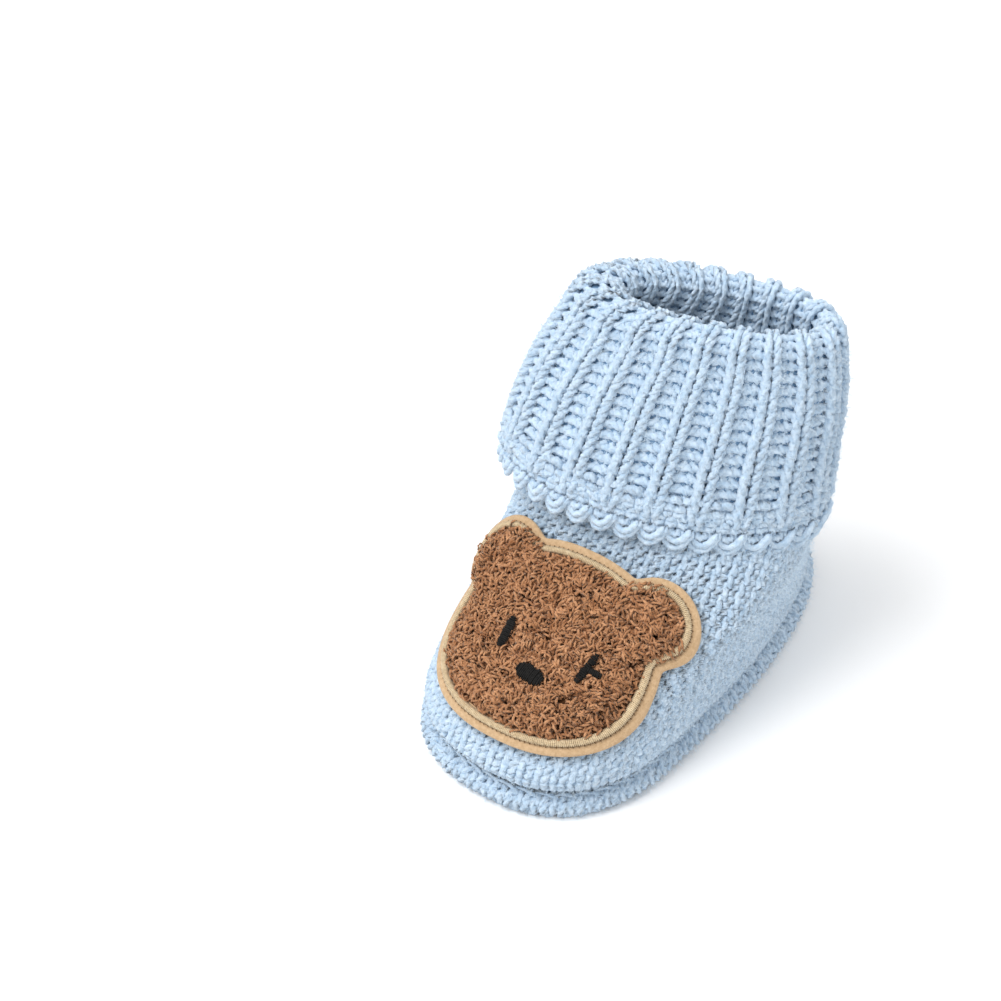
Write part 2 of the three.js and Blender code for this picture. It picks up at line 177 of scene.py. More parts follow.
class Wall:
    """A wall that is sampled evenly: s once round from the heel, t from its first edge to its last."""

    def __init__(self, rows, flip=False):
        wide = rows.shape[1]
        even = []
        for row in rows:
            gap = np.linalg.norm(np.roll(row, -1, 0) - row, axis=1)
            run = np.concatenate([[0], np.cumsum(gap)])
            ring = np.vstack([row, row[:1]])
            want = np.linspace(0, run[-1], wide, endpoint=False)
            even.append(np.stack([np.interp(want, run, ring[:, c]) for c in range(3)], 1))
        grid = np.array(even)
        step = np.linalg.norm(np.diff(grid, axis=0), axis=2).mean(1)
        run = np.concatenate([[0], np.cumsum(step)])
        want = np.linspace(0, run[-1], len(rows))
        where = np.interp(want, run, np.arange(len(rows)))
        low = np.clip(where.astype(int), 0, len(rows) - 2)
        part = (where - low)[:, None, None]
        self.grid = grid[low] * (1 - part) + grid[low + 1] * part
        self.length = run[-1]
        around = np.roll(self.grid, -1, 1) - np.roll(self.grid, 1, 1)
        self.normal = unit(np.cross(around, np.gradient(self.grid, axis=0)))
        if flip:
            self.normal = -self.normal

    def _mix(self, field, s, t):
        tall, wide = field.shape[:2]
        x = np.mod(s, 1) * wide
        y = np.clip(t, 0, 1) * (tall - 1)
        i, j = np.floor(x).astype(int) % wide, np.clip(np.floor(y).astype(int), 0, tall - 2)
        p, q = (x - np.floor(x))[..., None], (y - j)[..., None]
        k = (i + 1) % wide
        return ((field[j, i] * (1 - p) + field[j, k] * p) * (1 - q)
                + (field[j + 1, i] * (1 - p) + field[j + 1, k] * p) * q)

    def at(self, s, t, h):
        normal = unit(self._mix(self.normal, s, t))
        over = np.clip(t - 1, 0, None) + np.clip(t, None, 0)
        near = 0.02   # the wall runs on past an edge the way its last part goes
        top = self._mix(self.grid, s, np.where(over < 0, near, 1.0))
        low = self._mix(self.grid, s, np.where(over < 0, 0.0, 1 - near))
        beyond = unit(top - low) * (over * self.length)[..., None]
        return self._mix(self.grid, s, t) + beyond + normal * np.asarray(h)[..., None], normal


def wall_of(table, tall=160, wide=720, flip=False):
    place = np.linspace(0, len(table) - 1, tall)
    angle = math.pi + TURN * np.arange(wide) / wide
    return Wall(ring_points(ring_between(table, place)[:, None, :], angle[None, :]), flip)


# ---- yarn -----------------------------------------------------------------
class Skein:
    """Gathers swept yarns and makes one mesh of them; each yarn has its own strip of the bake map."""

    def __init__(self):
        self.verts, self.quads, self.uvs, self.count, self.strips = [], [], [], 0, []

    def sweep(self, paths, ups, radius, sides=7, depth=0.2, pitch=3.4, closed=False, start=0.0,
              taper=False):
        """Yarns along paths (yarns, points, 3), their section lobed and turning like twisted plies."""
        paths, ups = np.asarray(paths, float), np.asarray(ups, float)
        if paths.ndim == 2:
            paths, ups = paths[None], ups[None]
        yarns, count = paths.shape[:2]
        ahead = np.roll(paths, -1, 1) - np.roll(paths, 1, 1) if closed else np.gradient(paths, axis=1)
        tangent = unit(ahead)
        side = np.empty_like(paths)
        side[:, 0] = unit(np.cross(ups[:, 0], tangent[:, 0]))
        for i in range(1, count):
            last = side[:, i - 1]
            side[:, i] = unit(last - tangent[:, i] * (last * tangent[:, i]).sum(1, keepdims=True))
        over = np.cross(tangent, side)
        steps = np.linalg.norm(np.diff(paths, axis=1), axis=2)
        run = np.concatenate([np.zeros((yarns, 1)), np.cumsum(steps, 1)], 1)
        size = np.broadcast_to(np.asarray(radius, float).reshape(-1, 1), (yarns, count))
        if taper:
            blunt = 0.06   # the very tip keeps about a quarter of the radius
            size = size * np.sqrt(np.clip(np.minimum(run, run[:, -1:] - run) / size, blunt, 1))
        k = np.arange(sides)
        phi = TURN * k / sides
        lobe = 1 - depth * (0.5 - 0.5 * np.cos(2 * phi))
        twist = TURN * run / pitch
        if closed:
            meet = unit(side[0, -1] - tangent[0, 0] * (side[0, -1] @ tangent[0, 0]))
            slip = math.atan2(meet @ over[0, 0], meet @ side[0, 0])
            length = run[0, -1] + np.linalg.norm(paths[0, 0] - paths[0, -1])
            twist = run / length * (TURN * round(length / pitch) - slip)
        turned = phi + (np.broadcast_to(start, (yarns,))[:, None] + twist)[..., None]
        ring = (side[:, :, None] * np.cos(turned)[..., None]
                + over[:, :, None] * np.sin(turned)[..., None])
        verts = paths[:, :, None] + ring * (lobe * size[..., None])[..., None]
        rows = np.arange(count if closed else count - 1)[:, None]
        right, after = (k + 1) % sides, (rows + 1) % count
        quads = np.stack([rows * sides + k, after * sides + k, after * sides + right,
                          rows * sides + right], -1).reshape(1, -1, 4)
        self.quads.append((quads + (np.arange(yarns) * count * sides)[:, None, None]).reshape(-1, 4)
                          + self.count)
        u0, v0 = rows / len(rows) + 0 * k, 0 * rows + k / sides
        u1, v1 = u0 + 1 / len(rows), v0 + 1 / sides
        uv = np.stack([np.stack([u0, v0], -1), np.stack([u1, v0], -1), np.stack([u1, v1], -1),
                       np.stack([u0, v1], -1)], 2).reshape(-1, 2)
        self.uvs += [uv] * yarns
        self.strips += list(run[:, -1])
        self.verts.append(verts.reshape(-1, 3))
        self.count += yarns * count * sides

    def ribbon(self, path, side, width):
        """A flat fibre along a short path."""
        count = path.shape[1]
        half = side * (width / 2)[:, None]
        taper = np.linspace(1, 0.25, count)[None, :, None]
        left, right = path - half[:, None] * taper, path + half[:, None] * taper
        verts = np.stack([left, right], 2).reshape(-1, 3)
        base = (np.arange(len(path)) * count * 2)[:, None] + (np.arange(count - 1) * 2)[None, :]
        quads = np.stack([base, base + 1, base + 3, base + 2], -1).reshape(-1, 4)
        self.quads.append(quads + self.count)
        self.uvs.append(np.full((len(quads) * 4, 2), 0.5))
        self.strips.append(FIBRE_STRIP)
        self.verts.append(verts)
        self.count += len(verts)

    def mesh(self, name, slot, material, stands_for=()):
        """Makes the piece, with its yarn strips packed into the bake map by length, line after line."""
        total = np.array(self.strips).sum()
        lines = max(1, math.ceil(math.sqrt(total / GIRTH)))
        line_run = total / lines
        line, spot, uvs = 0, 0.0, []
        for run, uv in zip(self.strips, self.uvs):
            if len(self.strips) <= FEW_YARNS:
                high = 1 / len(self.strips)
                uvs.append(uv * [1, high * STRIP_FILL] + [0, high * len(uvs)])
                continue
            if spot + run > line_run * LINE_OVERRUN:
                line, spot = line + 1, 0.0
            width = line_run * LINE_MARGIN
            box = np.array([run / width, STRIP_FILL / (lines + 2)])
            uvs.append(uv * box * [0.98, 1] + [spot / width, line / (lines + 2)])
            spot += run
        mesh_object(name, np.concatenate(self.verts), np.concatenate(self.quads), slot, material,
                    np.clip(np.concatenate(uvs), 0, 1), stands_for)


def mesh_object(name, verts, quads, slot, material, uvs=None, stands_for=()):
    """One visible piece; stands_for lists the CAD nodes that it hides."""
    verts = np.array(verts, np.float32)
    verts[:, 2] = np.maximum(verts[:, 2], 0)   # yarn under the sole lies flat on the ground
    mesh = bpy.data.meshes.new(name)
    mesh.vertices.add(len(verts))
    mesh.vertices.foreach_set("co", (verts * MM).ravel())
    mesh.loops.add(len(quads) * 4)
    mesh.loops.foreach_set("vertex_index", np.asarray(quads, np.int32).ravel())
    mesh.polygons.add(len(quads))
    mesh.polygons.foreach_set("loop_start", np.arange(0, len(quads) * 4, 4, dtype=np.int32))
    mesh.polygons.foreach_set("use_smooth", np.ones(len(quads), bool))
    mesh.update(calc_edges=True)
    if uvs is not None:
        layer = mesh.uv_layers.new(name="OFBake")
        layer.data.foreach_set("uv", np.asarray(uvs, np.float32).ravel())
    mesh.validate()
    mesh.materials.append(material)
    obj = bpy.data.objects.new(name, mesh)
    bpy.context.scene.collection.objects.link(obj)
    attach(obj, "root")
    if stands_for:
        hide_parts(*stands_for)


def grid_quads(tall, wide):
    """Faces of a grid whose rows are closed rings."""
    rows, cols = np.arange(tall - 1), np.arange(wide)
    a = rows[:, None] * wide + cols[None, :]
    b = rows[:, None] * wide + (cols[None, :] + 1) % wide
    return np.stack([a, b, b + wide, a + wide], -1).reshape(-1, 4)


def backing(wall, depth, end, tall=60, wide=220):
    """Plain sheet behind the stitches, from the wall's first edge to end, that closes their gaps."""
    t, s = np.meshgrid(np.linspace(0.0, end, tall), np.arange(wide) / wide, indexing="ij")
    points, _ = wall.at(s, t, np.full(s.shape, depth))
    return points.reshape(-1, 3), grid_quads(tall, wide)


# ---- knitting -------------------------------------------------------------
def knit_course(wall, edges, t_row, row, rng, lean=1.5, reach=0.95, depth=0.62, face=None,
                relief=None, samples=18, wobble=0.03, upward=False):
    """One course of loops. edges are the s values between stitches; face is +1 knit or -1 purl."""
    count = len(edges) - 1
    theta = np.linspace(0, TURN * count, samples * count, endpoint=False)
    index = np.minimum((theta / TURN).astype(int), count - 1)
    local = theta - TURN * index - math.pi
    face = np.ones(count) if face is None else face
    relief = np.zeros(count) if relief is None else relief
    reach = np.broadcast_to(reach, (count,))

    def eased(values):
        before, after = np.roll(values, 1)[index], np.roll(values, -1)[index]
        here = values[index]
        edge = np.clip((np.abs(local) - EASE_FROM) / (math.pi - EASE_FROM), 0, 1)
        other = np.where(local < 0, before, after)
        return here * (1 - edge / 2) + other * edge / 2

    jitter = rng.normal(0, wobble, (3, count))
    across = (local + lean * np.sin(2 * local)) / TURN + 0.5
    middle = np.cos(local / 2)
    s = edges[index] + (edges[index + 1] - edges[index]) * (across + jitter[0][index] * middle)
    height = eased(reach) * np.cos(local) + jitter[1][index] * middle
    t = t_row + row * height * (1 if upward else -1)
    h = -depth * np.cos(2 * local) * eased(face) + eased(relief)
    h = h + LOFT_JITTER * jitter[2][index] * middle / wobble
    return wall.at(s, t, h)


def wale_edges(t):
    """Edges of the foot's wales at height t; those under the patch close up towards the ankle."""
    middle = FOOT_WALES / 2
    place = np.abs(np.arange(FOOT_WALES) + 0.5 - middle)
    hidden = place < HIDDEN_WALES / 2
    close = smooth((t - CLOSE_FROM) / CLOSE_OVER)
    weight = np.where(hidden, 1 - close, 1.0)
    run = np.concatenate([[0], np.cumsum(weight)])
    return run / run[-1], weight


def knit_foot(wall, skein, rng):
    """Stockinette courses; where the middle wales have ended, a course runs from side to side of them."""
    row = 1 / FOOT_ROWS
    samples = 14
    for course in range(FOOT_ROWS + 1):
        t_row = (course + 0.8) * row
        edges, weight = wale_edges(t_row)
        kept = weight > ENDED_WALE
        path, up = knit_course(wall, edges, t_row, row, rng, samples=samples)
        if kept.all():
            skein.sweep(path, up, YARN_R, closed=True, start=rng.uniform(0, 6))
            continue
        first = np.flatnonzero(kept & ~np.roll(kept, 1))[0]
        last = np.flatnonzero(kept & ~np.roll(kept, -1))[0]
        stitches = (np.arange(first, first + (last - first) % FOOT_WALES + 1)) % FOOT_WALES
        pick = (stitches[:, None] * samples + np.arange(samples)[None, :]).ravel()
        skein.sweep(path[pick], up[pick], YARN_R, start=rng.uniform(0, 6))


def knit_ribs(wall, skein, rng):
    """Knit ribs and purl furrows over the leg, the fold and the cuff."""
    share = np.tile([0.52, 0.48], RIBS)
    edges = np.concatenate([[0], np.cumsum(share)]) / share.sum()
    face = np.tile([1.0, -1.0], RIBS)
    row = 1 / RIB_ROWS
    for course in range(RIB_ROWS + 1):
        t_row = (course + 0.3) * row
        ring = wall.grid[min(int(t_row * len(wall.grid)), len(wall.grid) - 1)]
        width = np.linalg.norm(np.roll(ring, -1, 0) - ring, axis=1).sum() / len(face)
        squeeze = min(1.0, max(LEAST_SQUEEZE, width / FULL_RIB_STITCH))
        path, up = knit_course(wall, edges, t_row, row, rng, lean=1.2,
                               reach=np.tile([1.15, 1.0], RIBS), depth=0.68 * squeeze,
                               face=face, relief=(face * 0.7 - 0.35) * squeeze)
        skein.sweep(path, up, RIB_YARN_R * squeeze, closed=True, start=rng.uniform(0, 6))


def knit_hem(wall, skein, rng):
    """A band of purl bumps and, under it, the scalloped loops."""
    count = SCALLOPS * 2
    edges = np.linspace(0, 1, count + 1)
    face = -np.ones(count)
    for course, t_row in enumerate(HEM_COURSES):
        shift = edges + (course % 2) * 0.5 / count
        path, up = knit_course(wall, shift, t_row, 0.24, rng, lean=1.3, depth=0.7, face=face,
                               samples=16, wobble=0.08)
        skein.sweep(path, up, HEM_YARN_R, closed=True, start=rng.uniform(0, 6))
    along = np.linspace(0, 1, 26)
    sag = np.sin(math.pi * along) ** 0.7
    for loop in range(SCALLOPS):
        for spread, fall, lift in SCALLOP_LOOPS:
            s = (loop + 0.5 + (along - 0.5) * 2 * spread) / SCALLOPS
            drop = 0.50 + fall * sag + rng.normal(0, 0.02)
            path, up = wall.at(s, drop, lift - 0.7 * np.cos(math.pi * along))
            skein.sweep(path, up, SCALLOP_YARN_R, start=rng.uniform(0, 6), taper=True)


def sole_ring(inset, height, thin_toe=0.0):
    """The sole's outline moved in by inset; thin_toe is how far its toe drops towards the underside."""
    half = SOLE_LENGTH / 2 - inset
    toe_height = height - thin_toe * (height - UNDERSIDE)
    return rings([-half, toe_height, half, height, SOLE_WIDTH / 2 - inset, SOLE_WIDEST, *SOLE_BLUNT])[0]


def sole_rim():
    """Wall that runs over the flange, down the edge and in under the sole."""
    section = ((3.4, 4.3), (2.4, 4.4), (1.6, 3.7), (1.5, 2.5), (2.3, 1.6), (4.6, 1.5))
    return wall_of(np.array([sole_ring(*place, thin_toe=0.5) for place in section]), tall=60, flip=True)


def knit_sole(rim, skein, rng):
    """Rim courses round the flange and edge, then flat courses across the underside."""
    edges = np.linspace(0, 1, FOOT_WALES + 1)
    row = RIM_ROW / rim.length
    for course in range(int(rim.length / RIM_ROW) + 1):
        path, up = knit_course(rim, edges, (course + 0.1) * row, row, rng, depth=0.5, upward=True)
        skein.sweep(path, up, SOLE_YARN_R, closed=True, start=rng.uniform(0, 6))
    outline = ring_points(sole_ring(4.2, 1.0)[None], np.linspace(0, math.pi, 200))
    middle, wave = 1.25, 0.5   # height of the flat courses, and how far they rise and fall
    for y in np.arange(-SOLE_COURSES_END, SOLE_COURSES_END + 1, SOLE_COURSE):
        half = np.interp(y, outline[:, 1], outline[:, 0])
        count = int(2 * half / SOLE_STITCH)
        if count < 2:
            continue
        theta = np.linspace(0, TURN * count, 18 * count + 1)
        local = theta - math.pi
        x = (theta + 1.6 * np.sin(2 * local)) / TURN * SOLE_STITCH - count * SOLE_STITCH / 2
        height = middle + wave * np.cos(2 * local)
        path = np.stack([x, y + 0.92 * SOLE_COURSE * np.cos(local), height], 1)
        down = np.tile([0.0, 0.0, -1.0], (len(path), 1))
        skein.sweep(path, down, SOLE_YARN_R, start=rng.uniform(0, 6))


def sew_sole(wall, skein, rng):
    """Chain of links along the corner between the foot and the sole."""
    along = np.linspace(0, TURN, 22, endpoint=False)
    for link in range(SEAM_LINKS):
        s = (link + 0.5 + 0.66 * np.cos(along)) / SEAM_LINKS
        lift = 0.7 + 0.3 * np.cos(along) + rng.normal(0, 0.06)
        t = SEAM_AT + SEAM_HALF * np.sin(along) * (0.75 - 0.25 * np.cos(along))
        path, up = wall.at(s, t, lift)
        skein.sweep(path, up, LINK_YARN_R, closed=True, pitch=3.0, start=rng.uniform(0, 6))


def sew_heel(wall, skein, rng):
    """Closing seam up the middle of the heel: a column of short overcast stitches."""
    along = np.linspace(-1, 1, 12)
    for stitch in range(HEEL_STITCHES):
        t = HEEL_FROM + stitch * HEEL_STEP + HEEL_REACH * along
        s = 0.0062 * along
        lift = 0.9 + 0.95 * np.sqrt(1 - 0.92 * along**2)
        path, up = wall.at(s, t, lift)
        skein.sweep(path, up, HEEL_YARN_R, taper=True, start=rng.uniform(0, 6))


def fuzz(walls, skein, rng):
    """Loose fibres standing off the yarn. walls lists: wall, how many, lowest and highest t, lift."""
    for wall, count, low, high, lift in walls:
        s, t = rng.uniform(0, 1, count), rng.uniform(low, high, count)
        root, normal = wall.at(s, t, np.full(count, lift))
        sway = unit(rng.normal(0, 1, (count, 3)))
        sway -= normal * (sway * normal).sum(1, keepdims=True) * 0.6
        length = rng.uniform(FIBRE_SHORT, FIBRE_LONG, count)[:, None]
        curl = unit(rng.normal(0, 1, (count, 3)))
        steps = np.linspace(0, 1, 5)
        path = np.stack([root + sway * length * k + normal * (0.25 + length * 0.42 * math.sin(2.4 * k))
                         + curl * length * 0.22 * k * k for k in steps], 1)
        path[..., 2] = np.maximum(path[..., 2], 0.1)   # no fibre lies under the ground
        side = unit(np.cross(path[:, -1] - path[:, 0], normal + 0.3 * curl))
        skein.ribbon(path, side, rng.uniform(FIBRE_THIN, FIBRE_THICK, count))


# ---- patch ----------------------------------------------------------------
UP_SLOPE = np.array([0, math.cos(PATCH_SLOPE), math.sin(PATCH_SLOPE)])


def on_vamp(across, up, lift):
    """Points lifted off the foot over spots given across and up the patch, and the normal there.

    Newton steps find the ring angle and place whose point, seen square to the patch, is the spot.
    """
    across, up = np.broadcast_arrays(np.asarray(across, float), np.asarray(up, float))
    cosine, sine = math.cos(PATCH_ROLL), math.sin(PATCH_ROLL)
    across, up = across * cosine - up * sine, across * sine + up * cosine
    angle, place = across / 26, 3.4 + up / 11   # a first guess, near the patch's middle

    def spot(a, v):
        return ring_points(ring_between(FOOT_RINGS, v), a) - PATCH_AT

    step = 1e-4
    for _ in range(12):
        here = spot(angle, place)
        by_a = (spot(angle + step, place) - here) / step
        by_v = (spot(angle, place + step) - here) / step
        miss_x, miss_y = across - here[..., 0], up - here @ UP_SLOPE
        a, b, c, d = by_a[..., 0], by_v[..., 0], by_a @ UP_SLOPE, by_v @ UP_SLOPE
        span = a * d - b * c
        span = np.where(np.abs(span) < 1e-6, 1e-6, span)
        angle = angle + np.clip((miss_x * d - miss_y * b) / span, -0.3, 0.3)
        place = place + np.clip((miss_y * a - miss_x * c) / span, -0.8, 0.8)
    normal = unit(np.cross(by_a, by_v))
    square = np.array([0, -math.sin(PATCH_SLOPE), math.cos(PATCH_SLOPE)])
    normal = unit(normal + 0.6 * square)   # the patch is stiffer than the knitting and bends less
    return spot(angle, place) + PATCH_AT + normal * np.asarray(lift)[..., None], normal


def bear_radius(direction):
    """How far the bear's edge is from the middle of its face; the two ears mirror each other."""
    cosine, sine = np.abs(np.cos(direction)), np.sin(direction)
    head = ((cosine / HEAD_HALF_WIDTH) ** HEAD_BLUNT
            + (np.abs(sine) / HEAD_HALF_HEIGHT) ** HEAD_BLUNT) ** (-1 / HEAD_BLUNT)
    along = cosine * EAR_AT[0] + sine * EAR_AT[1]
    aside = EAR_R**2 - (EAR_AT @ EAR_AT - along**2)
    ear = np.where((aside > 0) & (along > 0), along + np.sqrt(np.maximum(aside, 0)), 0)
    return np.maximum(head, ear)


def bear_outline(inset, count):
    """Even points round the bear, moved in from its edge by inset, and the direction into the bear."""
    direction = TURN * np.arange(2000) / 2000
    reach = bear_radius(direction)
    soft = 20   # directions to each side over which the corner between ear and head is rounded
    kernel = np.hanning(2 * soft + 1)
    kernel = kernel / kernel.sum()
    reach = np.convolve(np.concatenate([reach[-soft:], reach, reach[:soft]]), kernel, "valid")
    line = np.stack([np.cos(direction), np.sin(direction)], 1) * reach[:, None]
    ahead = unit(np.roll(line, -3, 0) - np.roll(line, 3, 0))
    inward = np.stack([-ahead[:, 1], ahead[:, 0]], 1)
    moved = line + inward * inset
    run = np.concatenate([[0], np.cumsum(np.linalg.norm(np.roll(moved, -1, 0) - moved, axis=1))])
    want = np.linspace(0, run[-1], count, endpoint=False)
    ring, turn = np.vstack([moved, moved[:1]]), np.vstack([inward, inward[:1]])
    spots, inward = (np.stack([np.interp(want, run, field[:, c]) for c in range(2)], 1)
                     for field in (ring, turn))
    return spots, unit(inward)


def patch_sheet(name, inset, section, count, slot, material, stands_for):
    """A sheet that follows the vamp. section lists (share of the way out, lift)."""
    edge, _ = bear_outline(inset, count)
    rows = []
    for share, lift in section:
        points, _ = on_vamp(edge[:, 0] * share, edge[:, 1] * share, np.full(count, lift))
        rows.append(points)
    mesh_object(name, np.concatenate(rows), grid_quads(len(rows), count), slot, material,
                stands_for=stands_for)


def pile_height(points):
    """Lift of the boucle, which sinks towards the border, and how far inside the border it is."""
    direction = np.arctan2(points[:, 1], points[:, 0])
    margin = bear_radius(direction) - np.hypot(points[:, 0], points[:, 1]) - FELT_FLANGE - BORDER_WIDTH
    return PILE_LOW + PILE_RISE * smooth(margin / PILE_SLOPE), margin


def lay(skein, x, y, z, radius, sides, rng, depth=0.15):
    """Threads lying on the patch; x, y and z hold one row for each thread."""
    points, normal = on_vamp(x, y, z)
    skein.sweep(points, normal, radius, sides=sides, depth=depth, pitch=1.6, taper=True,
                start=rng.uniform(0, TURN, len(points)))


def grow_boucle(skein, rng):
    """Short curled strands lying every way over the face."""
    spots = rng.uniform(*CURL_FIELD, (CURLS, 2))
    height, margin = pile_height(spots)
    spots, height = spots[margin > 0.4], height[margin > 0.4]
    count = len(spots)
    along = np.linspace(-0.5, 0.5, 13)

    def draw(low, high):
        return rng.uniform(low, high, (count, 1))

    heading, radius = draw(0, TURN), draw(0.45, 0.85)
    coil = draw(0, TURN) + TURN * draw(0.9, 1.9) * along
    forward, aside = along * draw(1.5, 3.0), radius * np.cos(coil)
    x = spots[:, :1] + forward * np.cos(heading) - aside * np.sin(heading)
    y = spots[:, 1:] + forward * np.sin(heading) + aside * np.cos(heading)
    z = height[:, None] + draw(-1.2, 0.2) + radius * 0.9 * np.sin(coil)
    lay(skein, x, y, z, rng.uniform(CURL_THIN, CURL_THICK, count), 5, rng)


def stitch_border(skein, rng):
    """Satin stitches laid side by side across the band round the bear."""
    count = BORDER_THREADS
    across = np.linspace(-0.5, 0.5, 7)
    middle, inward = bear_outline(FELT_FLANGE + BORDER_WIDTH / 2, count)
    reach = BORDER_WIDTH * (1 + rng.normal(0, 0.03, (count, 1, 1)))
    line = middle[:, None] + across[:, None] * inward[:, None] * reach
    z = np.broadcast_to(2.05 + 0.85 * np.abs(np.cos(across * math.pi)) ** 0.6, (count, 7))
    lay(skein, line[..., 0], line[..., 1], z, SATIN_R, 6, rng, depth=0.08)


def stitch_holes(skein, rng):
    """Small dark marks along the outside of the band, laid as short threads: painted shade in the needle
    holes.
    """
    count = NEEDLE_HOLES
    middle, inward = bear_outline(FELT_FLANGE + 0.1, count)
    along = np.linspace(-0.35, 0.35, 5)
    line = middle[:, None] + along[:, None] * inward[:, None]
    z = np.broadcast_to(2.45 - np.abs(along), (count, 5))
    lay(skein, line[..., 0], line[..., 1], z, NEEDLE_R, 5, rng)


def embroider(skein, rng, start, end, width, strands):
    """Close parallel threads that fill a bar between two spots on the face."""
    start, end = np.array(start, float), np.array(end, float)
    axis, length = unit(end - start), np.linalg.norm(end - start)
    side = np.array([-axis[1], axis[0]])
    along = np.linspace(-0.5, 0.5, 9)
    place = ((np.arange(strands) + 0.5) / strands - 0.5)[:, None, None]
    reach = width * np.sqrt(np.maximum(0.12, 1 - (2 * place) ** 4))
    reach = reach * (1 + rng.normal(0, 0.06, place.shape))
    line = (start + end) / 2 + axis * place * length + along[:, None] * side * reach
    line = line + rng.normal(0, 0.05, line.shape[:1] + (1, 2))
    z = np.broadcast_to(FACE_LIFT + 0.5 * np.abs(np.cos(along * math.pi)) ** 0.7, (strands, 9))
    lay(skein, line[..., 0], line[..., 1], z, FACE_THREAD_R, 6, rng)


# ---- materials ------------------------------------------------------------
def material(name, dark, light, rough, sheen, scale, bump, grain, sheen_tint=(1, 1, 1)):
    """Fibre material: colour drifts between two tones at scale; noise at grain gives the bump's relief."""
    mat = bpy.data.materials.new(name)
    mat.use_nodes = True
    tree = mat.node_tree
    shader = tree.nodes["Principled BSDF"]
    shader.inputs["Roughness"].default_value = rough
    shader.inputs["Specular IOR Level"].default_value = 0.25
    shader.inputs["Sheen Weight"].default_value = sheen
    shader.inputs["Sheen Roughness"].default_value = 0.45
    shader.inputs["Sheen Tint"].default_value = (*sheen_tint, 1)
    place = tree.nodes.new("ShaderNodeTexCoord")
    drift = tree.nodes.new("ShaderNodeTexNoise")
    drift.inputs["Scale"].default_value = scale
    drift.inputs["Detail"].default_value = 4
    drift.inputs["Roughness"].default_value = 0.65
    tones = tree.nodes.new("ShaderNodeValToRGB")
    tones.color_ramp.elements[0].position, tones.color_ramp.elements[1].position = 0.34, 0.66
    tones.color_ramp.elements[0].color = (*dark, 1)
    tones.color_ramp.elements[1].color = (*light, 1)
    fibres = tree.nodes.new("ShaderNodeTexNoise")
    fibres.inputs["Scale"].default_value = grain
    fibres.inputs["Detail"].default_value = 3
    relief = tree.nodes.new("ShaderNodeBump")
    relief.inputs["Strength"].default_value = bump
    relief.inputs["Distance"].default_value = 0.0004
    tree.links.new(place.outputs["Object"], drift.inputs["Vector"])
    tree.links.new(place.outputs["Object"], fibres.inputs["Vector"])
    tree.links.new(drift.outputs["Fac"], tones.inputs["Fac"])
    tree.links.new(tones.outputs["Color"], shader.inputs["Base Color"])
    tree.links.new(fibres.outputs["Fac"], relief.inputs["Height"])
    tree.links.new(relief.outputs["Normal"], shader.inputs["Normal"])
    return mat


YARN = material("blue_yarn", (0.441, 0.598, 0.765), (0.632, 0.759, 0.889),
                0.95, 0.35, 700, 0.8, 3000)
# darker blue for the sheets behind the stitches and inside the sole: painted shade in the gaps between
# stitches
YARN_PAINTED_SHADE = material("blue_yarn_shadow", (0.142, 0.247, 0.392), (0.207, 0.333, 0.488),
                     1.0, 0.0, 900, 0.3, 2600)
# lighter blue than the yarn the fibres come off: painted light caught in the fuzz
FUZZ = material("blue_fibres", (0.611, 0.751, 0.88), (0.764, 0.869, 0.93),
                0.9, 0.5, 900, 0.0, 2600)
FELT = material("tan_felt", (0.47, 0.31, 0.17), (0.60, 0.42, 0.25),
                0.95, 0.3, 1400, 0.6, 3200)
GOLD = material("gold_thread", (0.56, 0.42, 0.25), (0.72, 0.58, 0.38),
                0.55, 0.2, 1200, 0.2, 3000)
# near-black brown marks on the gold border: painted shade in its needle holes
NEEDLE_HOLE_SHADE = material("needle_hole_shade", (0.12, 0.06, 0.025), (0.19, 0.10, 0.04),
                 0.9, 0.0, 1200, 0.2, 3000)
BOUCLE = material("brown_boucle", (0.266, 0.107, 0.041), (0.56, 0.29, 0.145),
                  0.9, 0.3, 500, 0.4, 2600, sheen_tint=(1.0, 0.85, 0.7))
# far darker brown than the curls: painted shade in the crevices between them
BOUCLE_PAINTED_SHADE = material("brown_boucle_painted_shade", (0.10, 0.042, 0.018), (0.17, 0.078, 0.034),
                       1.0, 0.0, 700, 0.4, 2600)
BLACK = material("black_thread", (0.004, 0.004, 0.004), (0.012, 0.011, 0.010),
                 0.85, 0.0, 1200, 0.2, 3000)

# ---- build ----------------------------------------------------------------
RNG = np.random.default_rng(7)
FOOT = wall_of(np.vstack([FOOT_FLARE, FOOT_RINGS]))
FOOT.grid = FOOT.grid - FOOT.normal * (FABRIC / 2)   # the rings are the outside, the yarn is knitted inside
RIB = wall_of(RIB_RINGS, tall=220, flip=True)
HEM = wall_of(HEM_RINGS, tall=40, flip=True)
RIM = sole_rim()

for name, work, wall, node in (
        ("foot_upper_stitches", knit_foot, FOOT, "foot_upper_knit"),
        ("rib_stitches", knit_ribs, RIB, "leg_and_cuff_rib"),
        ("hem_scallop_stitches", knit_hem, HEM, "cuff_hem_scallops"),
        ("sole_stitches", knit_sole, RIM, "sole_knit"),
        ("sole_seam_links", sew_sole, FOOT, "sole_seam_yarn"),
        ("heel_seam_stitches", sew_heel, FOOT, "heel_seam_yarn")):
    yarn = Skein()
    work(wall, yarn, RNG)
    yarn.mesh(name, "blue_yarn", YARN, [node])

# The sheets behind the stitches take the darker blue, painted shade seen through the gaps.
for name, wall, depth, end in (("foot_backing", FOOT, -0.35, 1.0), ("rib_backing", RIB, -0.55, 1.0),
                               ("hem_backing", HEM, -0.7, 0.6)):
    mesh_object(name, *backing(wall, depth, end), "blue_yarn", YARN_PAINTED_SHADE)

